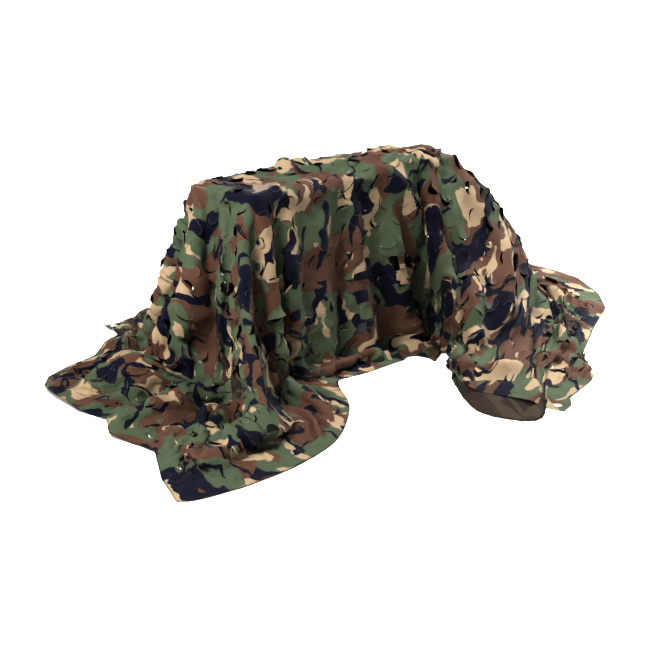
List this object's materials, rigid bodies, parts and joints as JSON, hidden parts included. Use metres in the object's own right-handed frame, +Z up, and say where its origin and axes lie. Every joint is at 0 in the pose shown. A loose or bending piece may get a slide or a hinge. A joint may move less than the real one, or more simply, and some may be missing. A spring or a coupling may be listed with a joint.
{
  "type": "camouflage net over a low table",
  "caption": "Woodland camouflage net thrown over a narrow low wooden table, falling in deep folds and spreading on the floor, with metal eyelets in its corners.",
  "frame": {"origin": "on the floor, under the middle of the whole footprint's box", "axes": "+X along the table's long side, towards the end where the net spreads furthest; -Y towards the front; +Z up"},
  "size_m": [2.3676, 1.596, 0.5862],
  "materials": {
    "net": "matt woodland print",
    "eyelet": "dull",
    "table": "satin"
  },
  "bodies": {
    "root": {"net_cloth": "net", "corner_front_right": "net", "corner_back_right": "net", "corner_back_left": "net", "eyelet_front_right": "eyelet", "eyelet_back_right": "eyelet", "eyelet_back_left": "eyelet", "table_top": "table", "leg_front_left": "table", "leg_front_right": "table", "leg_back_left": "table", "leg_back_right": "table", "rail_front": "table", "rail_back": "table", "rail_left": "table", "rail_right": "table"}
  },
  "joints": []
}
